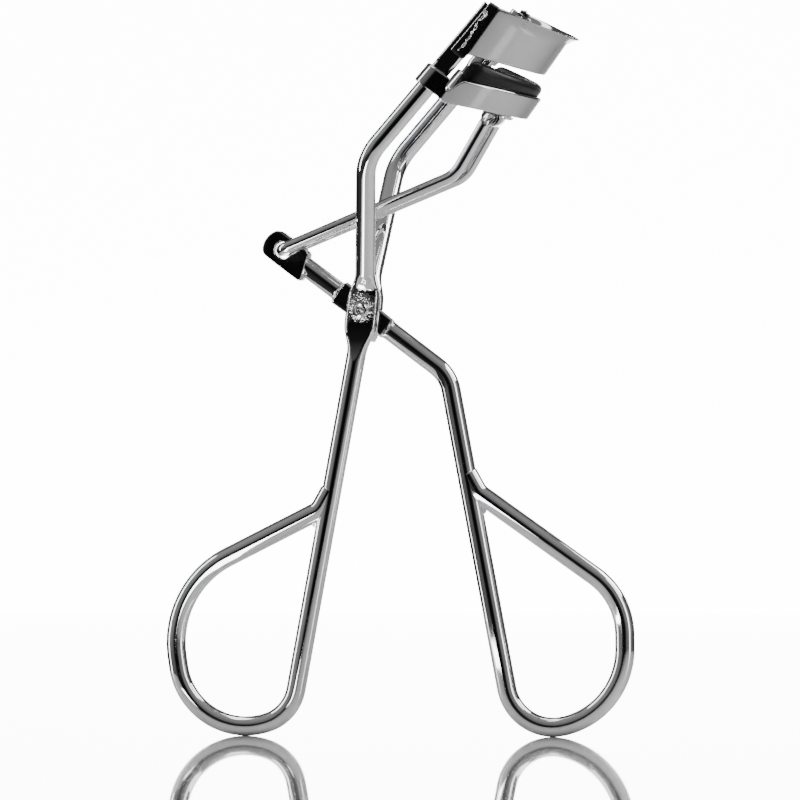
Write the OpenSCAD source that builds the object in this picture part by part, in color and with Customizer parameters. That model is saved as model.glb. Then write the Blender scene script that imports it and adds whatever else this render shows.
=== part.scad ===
// Eyelash curler: two bent-wire handles crossing at a rivet, two guide rods that carry the
// fixed upper jaw, and a lower jaw with a rubber pad that a U-shaped link pushes up the rods.
// Stands upright on its finger loops: +Z up, +X towards the jaws, Y along the jaws' width.

/* [Wire] */
// Diameter of the handle and guide rod wire
wire_d = 2.8; // [2.6:0.1:2.8]
// Diameter of the link wire
link_d = 1.7; // [1.5:0.1:1.7]
// Running clearance on every pin and sliding sleeve, on the radius
clearance = 0.05; // [0.03:0.01:0.08]

/* [Pivot] */
// Thickness of the two flattened eyes of the frame
eye_t = 1.6; // [1.4:0.1:1.7]
// Width of the flattened eyes
eye_w = 4.7; // [4.4:0.1:5]
// Thickness of the flattened middle of the right handle
flat_t = 1.9; // [1.7:0.1:2]
// Height of the flattened middle of the right handle
flat_w = 3.4; // [3:0.1:3.6]
// Diameter of the pivot rivet's shank
rivet_d = 1.8; // [1.6:0.1:2]

/* [Crank] */
// Distance from the pivot to the hole in the tip block
crank_l = 14.2; // [13.8:0.1:14.6]
// Angle of the right handle's upper arm below the horizontal
arm_angle = 37.2; // [36.5:0.1:38]
// Thickness of the tip block
tip_t = 4; // [3.6:0.1:4.4]
// Radius of the hole in the tip block, wide enough for the link's swing
tip_hole_r = 1.2; // [1.15:0.05:1.25]

/* [Head] */
// Half of the distance between the guide rods
rod_y = 13; // [12.5:0.1:13.5]
// Angle of the guide rods above the horizontal
rod_angle = 49.4; // [48:0.2:50]
// Angle of the jaw plates above the horizontal
plate_angle = 54.5; // [54:0.1:55]
// Sheet thickness of the jaws
sheet = 0.6; // [0.5:0.05:0.6]
// Outer radius of the upper jaw's curve
upper_r = 16.65; // [16.4:0.05:16.8]
// Outer radius of the lower jaw's curve
lower_r = 16.1; // [15.9:0.05:16.2]
// Width of the rubber pad
pad_w = 3.3; // [3:0.1:3.4]
// Free gap between the pad and the upper jaw, along the rods
jaw_gap = 1.05; // [1.02:0.01:1.2]

/* [Hidden] */
$fn = 48;

wire_r = wire_d / 2;
link_r = link_d / 2;
eps = 0.01;
joint_swell = 0.004;

// Height of the pivot above the floor, and its place left of the middle of the loops
pivot_at = [-5.857, 0, 61.09];
eye_gap = clearance;
eye_y = flat_t / 2 + eye_gap + eye_t / 2;

// Points of the wires, from the pivot, in the plane of the handles as [x, z]
rod_ref = [10.95, 30.4];
knee = [2.93, 21.05];
splay_start = [1.2, 2.6];
eye_foot = [0.2, -2.96];
left_loop = [[-9.7, -58.0], [-24.4, -62.82], [-27.8, -40]];
left_loop_r = [6.2, 9.8, 13.7];
left_end = [-4.744, -28.365];
arm_bend = [12.78, -9.7];
right_loop = [[22.4, -60.85], [38.3, -57.77], [38.1, -41.2]];
right_loop_r = [6.7, 11.2, 10.3];
right_end = [16.25, -25.72];
link_knee = [14.4, 18.9];
lug_at = [19.2, 27.2];
link_half = 4.7;
foot_half = 3.4;

// Lengths along the guide rods, from rod_ref
rod_top = 15.7;
rod_flat_from = 2.4;
ear_from = 1.4;
ear_h = 2.5;

// The jaws' own frame: distances outward (n) and upward (g) from the pivot
g_dir = [cos(plate_angle), sin(plate_angle)];
n_dir = [sin(plate_angle), -cos(plate_angle)];
lug_ng = [lug_at * n_dir, lug_at * g_dir];
upper_n = 2.3 - upper_r;
lower_n = 3.9 - lower_r;
jaw_slope = 0.34;
fold_n = -6.18;
plate_g = 39.73;
plate_top_g = 47.14;
plate_top_slope = 0.24;
flange_n = -9.15;
flange_g = 38.8;
seat_y = 13.95;
lip_g = 47.5;
lip_out = 1.05;
wall_top = [34.9, 0.46];
wall_bottom = [32.69, 0.38];
wall_n = -5.84;
gap_g = jaw_gap * 0.966;
pad_out_r = lower_r - sheet - clearance;
pad_end_y = 11.9;
channel_floor = 0.5;

function at_y(p, y) = [p[0], y, p[1]];
function unit(v) = v / norm(v);
function turn(p, i) = acos(unit(p[i] - p[i - 1]) * unit(p[i + 1] - p[i]));
function setback(p, r, i) = r[i] > 0 ? r[i] * tan(turn(p, i) / 2) : 0;
function along(a, b, d) = a + unit(b - a) * d;
function on_rod(u, y) = at_y(rod_ref + u * [cos(rod_angle), sin(rod_angle)], y);
function on_arm(t, y) = [t * cos(arm_angle), y, -t * sin(arm_angle)];

// A straight round bar from a to b
module bar(a, b, r) {
    z = unit(b - a);
    x = unit(cross(abs(z[1]) > 0.9 ? [1, 0, 0] : [0, 1, 0], z));
    y = cross(z, x);
    multmatrix([[x[0], y[0], z[0], a[0]], [x[1], y[1], z[1], a[1]], [x[2], y[2], z[2], a[2]]])
        cylinder(r = r, h = norm(b - a));
}

// The round bend of radius r at corner i of path p
module elbow(p, i, r, wr) {
    u = unit(p[i] - p[i - 1]);
    w = unit(p[i + 1] - p[i]);
    z = unit(cross(u, w));
    x = cross(u, z);
    start = p[i] - u * r * tan(turn(p, i) / 2);
    c = start - x * r;
    multmatrix([[x[0], u[0], z[0], c[0]], [x[1], u[1], z[1], c[1]], [x[2], u[2], z[2], c[2]]])
        rotate_extrude(angle = turn(p, i)) translate([r, 0]) circle(wr);
}

// A wire bent along the corners p with a bend radius r at each
module wire(p, r, wr) {
    last = len(p) - 1;
    for (i = [0 : last - 1])
        bar(along(p[i], p[i + 1], setback(p, r, i)),
            along(p[i + 1], p[i], setback(p, r, i + 1)), wr);
    for (i = [1 : last - 1]) {
        elbow(p, i, r[i], wr);
        for (k = [-1, 1]) translate(along(p[i], p[i + k], setback(p, r, i))) sphere(r = wr + joint_swell);
    }
}

// A flat slab in the plane of the handles, from y0 to y1, with the outline [x, z]
module slab(outline, y0, y1) {
    translate([0, y1, 0]) rotate([90, 0, 0]) linear_extrude(y1 - y0) polygon(outline);
}

// Places its children in the jaws' frame: x outward, z along the plates
module jaw_frame() {
    rotate([0, 90 - plate_angle, 0]) children();
}

// Places its children in the guide rods' frame, at rod_ref
module rod_frame() {
    translate(at_y(rod_ref, 0)) rotate([0, 90 - rod_angle, 0]) children();
}

// A bore along Y through the pivot
module pivot_bore(r, y0, y1) {
    translate([0, y1, 0]) rotate([90, 0, 0]) cylinder(r = r, h = y1 - y0);
}

// The flattened oval eye around the pivot, centred on the plane y
module eye(y) {
    low = [0.0, -2.1];
    high = [0.25, 0.7];
    for (c = [low, high]) translate([c[0], y + eye_t / 2, c[1]]) rotate([90, 0, 0])
        cylinder(r = eye_w / 2, h = eye_t);
    side = unit([high[1] - low[1], low[0] - high[0]]) * eye_w / 2;
    slab([low + side, high + side, high - side, low - side], y - eye_t / 2, y + eye_t / 2);
}

// What is pressed away on both faces of an eye, on the side s of the middle plane
module eye_cuts(s) {
    inner = flat_t / 2 + eye_gap;
    outer = inner + eye_t;
    slab([[-5, -4.8], [5, -4.8], [5, 4.3], [-5, 4.3]], min(s * -3, s * inner), max(s * -3, s * inner));
    slab([[-5, -4.8], [5, -4.8], [5, 3.2], [-5, 3.2]], min(s * outer, s * 5), max(s * outer, s * 5));
}

// The flat on a guide rod's outer side that takes the jaw's flange
module rod_flat(s) {
    rod_frame() translate([-3, s > 0 ? seat_y : -seat_y - 3, rod_flat_from]) cube([6, 3, 20]);
}

// Corners of a guide rod on the side s, from its top down to the eye
function rod_path(s) = [on_rod(rod_top, s * rod_y), at_y(knee, s * rod_y), at_y(splay_start, s * eye_y)];
rod_bends = [0, 10.2, 6];

module left_handle() color([0.78, 0.79, 0.8]) translate(pivot_at) difference() {
    union() {
        wire(concat(rod_path(-1), [for (c = left_loop) at_y(c, -eye_y)],
                    [at_y(left_end, -eye_y)]),
             concat(rod_bends, left_loop_r, [0]), wire_r);
        eye(-eye_y);
    }
    eye_cuts(-1);
    rod_flat(-1);
    pivot_bore(rivet_d / 2 + 0.02, -5, 0);
}

// The fillet of filler metal in the corner between a loop's end and its handle
module loop_braze(corner, path_a, path_b, y) {
    difference() {
        slab(corner, y - 0.5, y + 0.5);
        bar(at_y(path_a[0], y), at_y(path_a[1], y), wire_r);
        bar(at_y(path_b[0], y), at_y(path_b[1], y), wire_r);
    }
}

module left_loop_braze() color([0.7, 0.7, 0.68]) translate(pivot_at)
    loop_braze([[-5.4, -29.8], [-6.48, -32.6], [-7.9, -31.5]], [splay_start, left_loop[0]],
               [left_loop[2], left_end], -eye_y);

module right_handle() color([0.78, 0.79, 0.8]) translate(pivot_at) difference() {
    union() {
        bar(on_arm(2.5 - crank_l + 0.2, 0), on_arm(-3.2, 0), wire_r);
        rotate([0, arm_angle, 0]) translate([-3.5, -flat_t / 2, -flat_w / 2]) cube([8.4, flat_t, flat_w]);
        wire(concat([on_arm(4.6, 0), at_y(arm_bend, 0)], [for (c = right_loop) at_y(c, 0)],
                    [at_y(right_end, 0)]),
             concat([0, 6], right_loop_r, [0]), wire_r);
    }
    pivot_bore(rivet_d / 2 + clearance, -3, 3);
}

module right_loop_braze() color([0.7, 0.7, 0.68]) translate(pivot_at)
    loop_braze([[17.1, -27.8], [18.13, -30.5], [19.39, -29.66]], [arm_bend, right_loop[0]],
               [right_loop[2], right_end], 0);

// The block on the crank's end: rounded behind the hole, and bored for the wire in front of it
module tip_block() color([0.25, 0.25, 0.26]) translate(pivot_at) translate(on_arm(-crank_l, 0))
    rotate([0, arm_angle, 0]) difference() {
        intersection() {
            slab([[-3, -2.15], [3.9, -2.15], [2.7, 2.0], [-3, 2.0]], -tip_t / 2, tip_t / 2);
            union() {
                translate([0, tip_t, 0]) rotate([90, 0, 0]) cylinder(r = 2.95, h = 2 * tip_t);
                translate([0, -tip_t, -3]) cube([5, 2 * tip_t, 6]);
            }
        }
        translate([0, tip_t, 0]) rotate([90, 0, 0]) cylinder(r = tip_hole_r, h = 2 * tip_t);
        translate([2.5, 0, 0]) rotate([0, 90, 0]) cylinder(r = wire_r + 0.02, h = 5);
    }

module far_guide_rod() color([0.78, 0.79, 0.8]) translate(pivot_at) difference() {
    union() {
        wire(concat(rod_path(1), [at_y(eye_foot, eye_y)]), concat(rod_bends, [0]), wire_r);
        eye(eye_y);
    }
    eye_cuts(1);
    rod_flat(1);
    pivot_bore(rivet_d / 2 + 0.02, 0, 5);
}

// A semi-tubular rivet: domed head at the back, spread open end at the front
module pivot_rivet() color([0.82, 0.83, 0.84]) translate(pivot_at) {
    face = flat_t / 2 + eye_gap + eye_t;
    rotate([90, 0, 0]) difference() {
        union() {
            translate([0, 0, -face]) cylinder(r = rivet_d / 2, h = 2 * face);
            translate([0, 0, face]) cylinder(r1 = 1.3, r2 = 1.1, h = 0.3);
            translate([0, 0, -face - 0.7]) cylinder(r1 = 1.2, r2 = 1.9, h = 0.7);
        }
        translate([0, 0, face - 2]) cylinder(r = 0.55, h = 3);
    }
}

// Straight outline of a jaw's wall in the jaws' frame, between two sloping edges
module between_edges(n0, bottom, bottom_slope, top, top_slope, half_y) {
    n1 = 8;
    slab([[n0, bottom], [n1, bottom + bottom_slope * (n1 - n0)], [n1, top + top_slope * (n1 - n0)],
          [n0, top]], -half_y, half_y);
}

// One end flange of the upper jaw, lying on the flat of a guide rod on the side s
module flange(s) {
    inner = seat_y;
    outline = [[flange_n, flange_g], [fold_n - 0.4, flange_g], [fold_n + 0.15, plate_g],
               [fold_n + 0.15, plate_top_g - 0.1], [fold_n - 0.1, plate_top_g - 0.5],
               [flange_n + 0.55, plate_top_g - 0.05]];
    slab(outline, s > 0 ? inner : -inner - sheet, s > 0 ? inner + sheet : -inner);
}

module upper_jaw() color([0.6, 0.6, 0.61]) translate(pivot_at) jaw_frame() {
    r = upper_r;
    intersection() {
        translate([upper_n, 0, 0]) rotate([0, 0, -70]) rotate_extrude(angle = 140)
            polygon([[r - sheet, 36], [r, 36], [r, lip_g], [r + 0.25, lip_g + 0.9], [r + lip_out, lip_g + 2.1],
                     [r + lip_out - 0.45, lip_g + 2.4], [r - sheet + 0.2, lip_g + 0.9], [r - sheet, lip_g]]);
        between_edges(fold_n, plate_g, jaw_slope, plate_top_g, plate_top_slope, seat_y + sheet);
    }
    for (s = [-1, 1]) flange(s);
}

// A raised run of weld metal on each flange
module jaw_weld_beads() color([0.8, 0.8, 0.78]) translate(pivot_at) rod_frame() for (s = [-1, 1]) {
    face = seat_y + sheet;
    intersection() {
        translate([0.1, s * face, 8.6]) cylinder(r = 0.22, h = 6);
        translate([-1, s > 0 ? face : -face - 1, 8]) cube([2, 1, 8]);
    }
}

// A curved wall of the lower jaw between the radii r0 and r1
module lower_wall(r0, r1) {
    translate([lower_n, 0, 20]) difference() {
        cylinder(r = r1, h = 40);
        translate([0, 0, -1]) cylinder(r = r0, h = 42);
    }
}

module ear(s) {
    translate(at_y(rod_ref, 0)) rotate([0, 90 - rod_angle, 0]) translate([0, s * rod_y, ear_from])
        cylinder(r = wire_r + clearance + 0.55, h = ear_h);
}

module ear_bore(s) {
    translate(at_y(rod_ref, 0)) rotate([0, 90 - rod_angle, 0]) translate([0, s * rod_y, ear_from - 5])
        cylinder(r = wire_r + clearance, h = ear_h + 10);
}

// The flat web that joins a sleeve to the curved wall
module ear_web(s) {
    out_y = rod_y + wire_r + clearance + 0.55;
    outline = [[-8.5, wall_bottom[0]], [wall_n + 0.5, wall_bottom[0] + 0.2],
               [wall_n + 0.5, wall_top[0]], [-8.5, wall_top[0]]];
    slab(outline, s > 0 ? out_y - sheet : -out_y, s > 0 ? out_y : -out_y + sheet);
}

module lower_jaw() color([0.62, 0.62, 0.63]) translate(pivot_at) difference() {
    union() {
        jaw_frame() intersection() {
            lower_wall(lower_r - sheet, lower_r);
            between_edges(wall_n, wall_bottom[0], wall_bottom[1], wall_top[0], wall_top[1], 14.95);
        }
        for (s = [-1, 1]) {
            jaw_frame() ear_web(s);
            ear(s);
        }
    }
    for (s = [-1, 1]) ear_bore(s);
}

// The folded channel behind the front wall that holds the pad
module pad_channel() color([0.5, 0.5, 0.51]) translate(pivot_at) jaw_frame() {
    outer = lower_r - sheet;
    inner = pad_out_r - pad_w - clearance;
    difference() {
        intersection() {
            lower_wall(inner - sheet, outer);
            between_edges(wall_n, wall_bottom[0] + 0.1, wall_bottom[1], wall_top[0] - 0.2,
                          wall_top[1], pad_end_y);
        }
        intersection() {
            lower_wall(inner, outer + 1);
            between_edges(wall_n - 4, wall_bottom[0] + 0.1 + channel_floor - 4 * wall_bottom[1],
                          wall_bottom[1], wall_top[0] + 4, wall_top[1], 20);
        }
        for (y = [-1.6, 1.6]) lug_rivet_at(y) cylinder(r = 0.52, h = 4, center = true);
    }
}

// The pad: a curved strip of rubber with rounded ends
module lash_pad() color([0.06, 0.06, 0.06]) translate(pivot_at) jaw_frame() {
    mid_r = pad_out_r - pad_w / 2;
    end_angle = asin(pad_end_y / mid_r) - 3;
    intersection() {
        union() {
            translate([lower_n, 0, 20]) rotate([0, 0, -end_angle]) rotate_extrude(angle = 2 * end_angle)
                translate([pad_out_r - pad_w, 0]) square([pad_w, 40]);
            for (s = [-1, 1]) translate([lower_n, 0, 20]) rotate([0, 0, s * end_angle])
                translate([mid_r, 0, 0]) cylinder(r = pad_w / 2, h = 40);
        }
        slab([[-12, wall_bottom[0] + 0.1 + channel_floor + eps + wall_bottom[1] * (-12 - wall_n)],
              [8, wall_bottom[0] + 0.1 + channel_floor + eps + wall_bottom[1] * (8 - wall_n)],
              [8, plate_g - gap_g + jaw_slope * (8 - fold_n)],
              [-12, plate_g - gap_g + jaw_slope * (-12 - fold_n)]], -14, 14);
    }
}

// The link: a wire bent to a U, its closed end in the lug and its open ends hooked into the tip block
module link() color([0.8, 0.81, 0.82]) translate(pivot_at) {
    hook_in = tip_t / 2 - 1.4;
    foot = [on_arm(-crank_l, 0)[0], on_arm(-crank_l, 0)[2]];
    wire([at_y(foot, -hook_in), at_y(foot, -foot_half), at_y(link_knee, -link_half),
          at_y(lug_at, -link_half), at_y(lug_at, link_half), at_y(link_knee, link_half),
          at_y(foot, foot_half), at_y(foot, hook_in)],
         [0, 1.2, 6, 1.4, 1.4, 6, 1.2, 0], link_r);
}

// Places its children on the lug's rivet line, square to the lug's tab
module lug_rivet_at(y) {
    n = lug_ng[0] + 1.75;
    g = wall_bottom[0] + wall_bottom[1] * (n - wall_n);
    translate([n, y, g]) rotate([0, -atan(wall_bottom[1]), 0]) children();
}

// The lug: a strip rolled round the link's closed end, with its tab under the channel
module link_lug() color([0.7, 0.7, 0.71]) translate(pivot_at) jaw_frame() difference() {
    union() {
        translate([lug_ng[0], 2.6, lug_ng[1]]) rotate([90, 0, 0]) cylinder(r = link_r + clearance + 0.5, h = 5.2);
        n0 = lug_ng[0] - 0.6;
        n1 = lug_ng[0] + 2.9;
        g0 = wall_bottom[0] + 0.1 + wall_bottom[1] * (n0 - wall_n);
        g1 = wall_bottom[0] + 0.1 + wall_bottom[1] * (n1 - wall_n);
        slab([[n0, g0 - 0.62], [n1, g1 - 0.62], [n1, g1 - 0.01], [n0, g0 - 0.01]], -2.6, 2.6);
    }
    translate([lug_ng[0], 4, lug_ng[1]]) rotate([90, 0, 0]) cylinder(r = link_r + clearance, h = 8);
    for (y = [-1.6, 1.6]) lug_rivet_at(y) cylinder(r = 0.52, h = 4, center = true);
}

module lug_rivets() color([0.8, 0.8, 0.8]) translate(pivot_at) jaw_frame() for (y = [-1.6, 1.6])
    lug_rivet_at(y) {
        translate([0, 0, -0.5]) cylinder(r = 0.5, h = 1.05);
        translate([0, 0, -0.78]) cylinder(r1 = 0.6, r2 = 0.85, h = 0.28);
    }

left_handle();
left_loop_braze();
right_handle();
right_loop_braze();
tip_block();
far_guide_rod();
pivot_rivet();
upper_jaw();
jaw_weld_beads();
lower_jaw();
pad_channel();
lash_pad();
link();
link_lug();
lug_rivets();
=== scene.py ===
"""Eyelash curler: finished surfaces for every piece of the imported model, laid out as an add-on.

Lengths inside the geometry functions are in millimetres from the main pivot: x towards the
jaws, y along the rivet (negative towards the viewer), z up along the handles.
"""

import math

import bpy
import numpy as np
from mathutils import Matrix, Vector


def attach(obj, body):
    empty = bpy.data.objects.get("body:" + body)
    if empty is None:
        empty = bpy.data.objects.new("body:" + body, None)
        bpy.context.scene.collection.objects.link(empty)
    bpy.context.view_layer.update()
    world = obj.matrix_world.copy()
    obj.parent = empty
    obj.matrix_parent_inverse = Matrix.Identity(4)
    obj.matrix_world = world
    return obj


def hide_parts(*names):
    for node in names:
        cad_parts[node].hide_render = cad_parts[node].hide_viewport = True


bl_info = {
    "name": "Eyelash curler",
    "version": (1, 0, 0),
    "blender": (4, 5, 0),
    "location": "View3D > Sidebar > Curler",
    "description": "Builds the finished surfaces of an eyelash curler round its packed model",
    "category": "Object",
}

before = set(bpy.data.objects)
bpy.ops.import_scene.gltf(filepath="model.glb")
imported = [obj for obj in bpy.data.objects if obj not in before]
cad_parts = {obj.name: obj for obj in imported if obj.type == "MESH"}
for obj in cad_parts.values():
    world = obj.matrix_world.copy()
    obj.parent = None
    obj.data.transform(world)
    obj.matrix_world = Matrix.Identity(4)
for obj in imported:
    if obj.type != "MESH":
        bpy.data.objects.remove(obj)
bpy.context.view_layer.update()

MM = 0.001
# Place of the main pivot in the model's frame, in millimetres
PIVOT = np.array([-5.857, 0.0, 61.09])
Y_AXIS = np.array([0.0, 1.0, 0.0])

# The guide rods' upper straight run: a point on it, its direction and the direction across it
ROD_ANGLE = math.radians(49.4)
ROD_REF = np.array([10.95, 0.0, 30.4])
ROD_DIR = np.array([math.cos(ROD_ANGLE), 0.0, math.sin(ROD_ANGLE)])
ROD_SIDE = np.array([math.sin(ROD_ANGLE), 0.0, -math.cos(ROD_ANGLE)])
# Length of that run past its point, then the rod's knee and its entry to the eye as (x, z)
ROD_TOP = 15.7
KNEE = (3.03, 21.16)
EYE_ENTRY = (0.95, 2.9)
# The jaws' plates: g runs up along them and n runs outward, away from the rods
PLATE_ANGLE = math.radians(54.5)
PLATE_UP = np.array([math.cos(PLATE_ANGLE), 0.0, math.sin(PLATE_ANGLE)])
PLATE_OUT = np.array([math.sin(PLATE_ANGLE), 0.0, -math.cos(PLATE_ANGLE)])
# The rods' middle is at n = ROD_N where g = TILT_REF, and gains TILT mm for each mm of g
ROD_N = -8.75
TILT_REF = 31.11
TILT = 0.0889
# The lower jaw: middle of its arcs in n, the n of its arc's ends, and the rise of its floor
LOWER_ARC_N = -12.2
LOWER_END_N = -5.84
FLOOR_SLOPE = 0.4
# The moving handle's arm and the distance from the pivot to the tip block's hole
ARM_ANGLE = math.radians(37.2)
ARM_DIR = np.array([math.cos(ARM_ANGLE), 0.0, -math.sin(ARM_ANGLE)])
ARM_UP = np.array([math.sin(ARM_ANGLE), 0.0, math.cos(ARM_ANGLE)])
CRANK = 13.8
# Middle of the link's closed end, where the lug holds it, as (x, z)
LUG_AT = (19.2, 27.2)
# Spacing of the points along the wires
WIRE_STEP = 0.22
# Turn of the camera round the object's upright axis
VIEW_TURN = math.radians(9.6)


def hash_noise(a, b, seed):
    """A repeatable value in -1..1 for whole arrays a, b: the fraction of sin(a*k1 + b*k2 + seed)*k3."""
    v = np.sin(a * 12.9898 + b * 78.233 + seed * 37.719) * 43758.5453
    return 2.0 * (v - np.floor(v)) - 1.0


def smooth_noise(x, y, seed):
    """Value noise in -1..1: hash_noise at the four whole-number corners, blended by 3t^2-2t^3."""
    xi, yi = np.floor(x), np.floor(y)
    fx, fy = x - xi, y - yi
    fx, fy = fx * fx * (3 - 2 * fx), fy * fy * (3 - 2 * fy)
    a = hash_noise(xi, yi, seed) * (1 - fx) + hash_noise(xi + 1, yi, seed) * fx
    b = hash_noise(xi, yi + 1, seed) * (1 - fx) + hash_noise(xi + 1, yi + 1, seed) * fx
    return a * (1 - fy) + b * fy


def smoothstep(a, b, x):
    """0 below a, 1 above b, and 3t^2-2t^3 between."""
    t = np.clip((x - a) / (b - a), 0.0, 1.0)
    return t * t * (3 - 2 * t)


def placed(n, g, y):
    """Points from the plates' coordinates: PLATE_OUT*n + PLATE_UP*g + Y_AXIS*y."""
    return PLATE_OUT * n[..., None] + PLATE_UP * g[..., None] + Y_AXIS * y[..., None]


def route(corners, radii, step):
    """Points along a polyline with each corner replaced by an arc of its radius.

    Arc: c + (cos(s)*(p0-c) + sin(s)*|p0-c|*u) from the tangent point p0, where u is the
    incoming direction and c lies R from p0 towards the inside of the bend."""
    p = [np.array(c, float) for c in corners]
    out = [p[0]]
    for i in range(1, len(p) - 1):
        u = (p[i] - p[i - 1]) / np.linalg.norm(p[i] - p[i - 1])
        w = (p[i + 1] - p[i]) / np.linalg.norm(p[i + 1] - p[i])
        turn = math.acos(float(np.clip(u @ w, -1, 1)))
        start = p[i] - u * radii[i] * math.tan(turn / 2)
        axis = np.cross(u, w)
        inward = np.cross(axis / np.linalg.norm(axis), u)
        centre = start + inward * radii[i]
        angles = np.linspace(0, turn, max(4, int(turn * radii[i] / step) + 2))[:, None]
        arc = centre + np.cos(angles) * (start - centre) + np.sin(angles) * radii[i] * u
        out.append(arc)
    out.append(p[-1])
    pts = np.vstack([np.atleast_2d(o) for o in out])
    length = np.concatenate([[0], np.cumsum(np.linalg.norm(np.diff(pts, axis=0), axis=1))])
    keep = np.concatenate([[True], np.diff(length) > 1e-6])
    pts, length = pts[keep], length[keep]
    s = np.linspace(0, length[-1], int(length[-1] / step) + 2)
    return np.stack([np.interp(s, length, pts[:, k]) for k in range(3)], 1)


def carried_frames(pts, first_side):
    """Unit tangents T and two unit sides A, B with B carried along the path without twist:
    B' = B - (B.T')T' renormalised at each point, A = B x T."""
    t = np.gradient(pts, axis=0)
    t /= np.linalg.norm(t, axis=1)[:, None]
    b = np.empty_like(t)
    side = np.array(first_side, float)
    for i in range(len(t)):
        side = side - (side @ t[i]) * t[i]
        side /= np.linalg.norm(side)
        b[i] = side
    return t, np.cross(b, t), b


def swept(pts, frames, half_a, half_b, power, count):
    """Rings of a swept superellipse: P + A*a*c(th) + B*b*s(th), where
    c = sign(cos)|cos|^(2/p) and s = sign(sin)|sin|^(2/p); a, b, p vary along the path."""
    _, a_dir, b_dir = frames
    th = np.linspace(0, 2 * math.pi, count, endpoint=False)
    co, si = np.cos(th)[None, :], np.sin(th)[None, :]
    e = (2.0 / np.asarray(power, float))[:, None]
    c = np.sign(co) * np.abs(co) ** e * np.asarray(half_a)[:, None]
    s = np.sign(si) * np.abs(si) ** e * np.asarray(half_b)[:, None]
    return pts[:, None, :] + a_dir[:, None, :] * c[..., None] + b_dir[:, None, :] * s[..., None]


def domed(rings, frames, bulge, steps=6):
    """Adds dome rings at both ends: ring shrunk by cos(k) about its centre and moved out by
    bulge*sin(k) along the tangent, for k from 0 to just under 90 degrees."""
    out = []
    t = frames[0]
    for end, sign in ((0, -1.0), (-1, 1.0)):
        ring = rings[end]
        mid = ring.mean(0)
        k = np.linspace(0, math.pi / 2, steps + 1)[1:-1]
        dome = mid + (ring - mid)[None] * np.cos(k)[:, None, None]
        dome = dome + t[end] * (sign * bulge * np.sin(k))[:, None, None]
        out.append(dome[::-1] if end == 0 else dome)
    return np.concatenate([out[0], rings, out[1]])


def skin(rings):
    """A closed skin over rings (N, M, 3) in order along a path: quads between neighbours and a
    fan to each end ring's mean point. Returns vertices and faces."""
    n, m, _ = rings.shape
    idx = np.arange(n * m).reshape(n, m)
    nxt = np.roll(idx, -1, axis=1)
    quads = np.stack([idx[:-1], nxt[:-1], nxt[1:], idx[1:]], -1).reshape(-1, 4)
    verts = np.vstack([rings.reshape(-1, 3), rings[0].mean(0), rings[-1].mean(0)])
    first, last = n * m, n * m + 1
    fan_a = np.stack([np.full(m, first), nxt[0], idx[0]], -1)
    fan_b = np.stack([np.full(m, last), idx[-1], nxt[-1]], -1)
    return verts, quads.tolist() + fan_a.tolist() + fan_b.tolist()


def looped(rings):
    """A closed skin over rings (N, M, 3) whose last ring joins the first, as on a ring."""
    n, m, _ = rings.shape
    idx = np.arange(n * m).reshape(n, m)
    nxt = np.roll(idx, -1, axis=1)
    up, up_nxt = np.roll(idx, -1, axis=0), np.roll(nxt, -1, axis=0)
    return rings.reshape(-1, 3), np.stack([idx, nxt, up_nxt, up], -1).reshape(-1, 4).tolist()


def joined(*parts):
    """Several (vertices, faces) as one."""
    verts, faces, at = [], [], 0
    for v, f in parts:
        verts.append(v)
        faces += [[i + at for i in face] for face in f]
        at += len(v)
    return np.vstack(verts), faces


def revolved(profile, count):
    """A turned shape: profile points (r, h) turned about +Y and closed by a fan at both ends.
    Point = (r*cos(a), h, r*sin(a))."""
    prof = np.array(profile, float)
    a = np.linspace(0, 2 * math.pi, count, endpoint=False)
    rings = np.stack([prof[:, None, 0] * np.cos(a), np.repeat(prof[:, 1:2], count, 1),
                      prof[:, None, 0] * np.sin(a)], -1)
    return skin(rings)


def rounded_corners(points, radii, arc_points=6):
    """A closed 2D outline with its corners rounded: each becomes an arc of radius r whose middle
    lies r/sin(half the corner's angle) from it along the bisector."""
    p = np.array(points, float)
    out = []
    n = len(p)
    for i in range(n):
        a, b, c = p[i - 1], p[i], p[(i + 1) % n]
        u, w = (a - b) / np.linalg.norm(a - b), (c - b) / np.linalg.norm(c - b)
        half = math.acos(float(np.clip(u @ w, -1, 1))) / 2
        r = radii[i] if np.ndim(radii) else radii
        d = r / math.tan(half)
        centre = b + (u + w) / np.linalg.norm(u + w) * r / math.sin(half)
        p0, p1 = b + u * d - centre, b + w * d - centre
        a0, a1 = math.atan2(p0[1], p0[0]), math.atan2(p1[1], p1[0])
        turn = (a1 - a0 + math.pi) % (2 * math.pi) - math.pi
        k = np.linspace(0, 1, arc_points)
        out.append(centre + r * np.stack([np.cos(a0 + turn * k), np.sin(a0 + turn * k)], 1))
    return np.vstack(out)


def make_object(name, part, finish, body, nodes, sharp=38.0):
    """A mesh object from (vertices in mm from the pivot, faces), facing outward, on its body.
    Edges that turn more than sharp degrees are left crisp."""
    verts, faces = part
    mesh = bpy.data.meshes.new(name)
    mesh.from_pydata(((verts + PIVOT) * MM).tolist(), [], faces)
    mesh.validate()
    mesh.polygons.foreach_set("use_smooth", np.ones(len(mesh.polygons), bool))
    mesh.update()
    if signed_volume(mesh) < 0:
        mesh.flip_normals()
    mesh.set_sharp_from_angle(angle=math.radians(sharp))
    mesh.materials.append(material(finish))
    obj = bpy.data.objects.new(name, mesh)
    bpy.context.scene.collection.objects.link(obj)
    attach(obj, body)
    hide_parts(*nodes)


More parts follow.
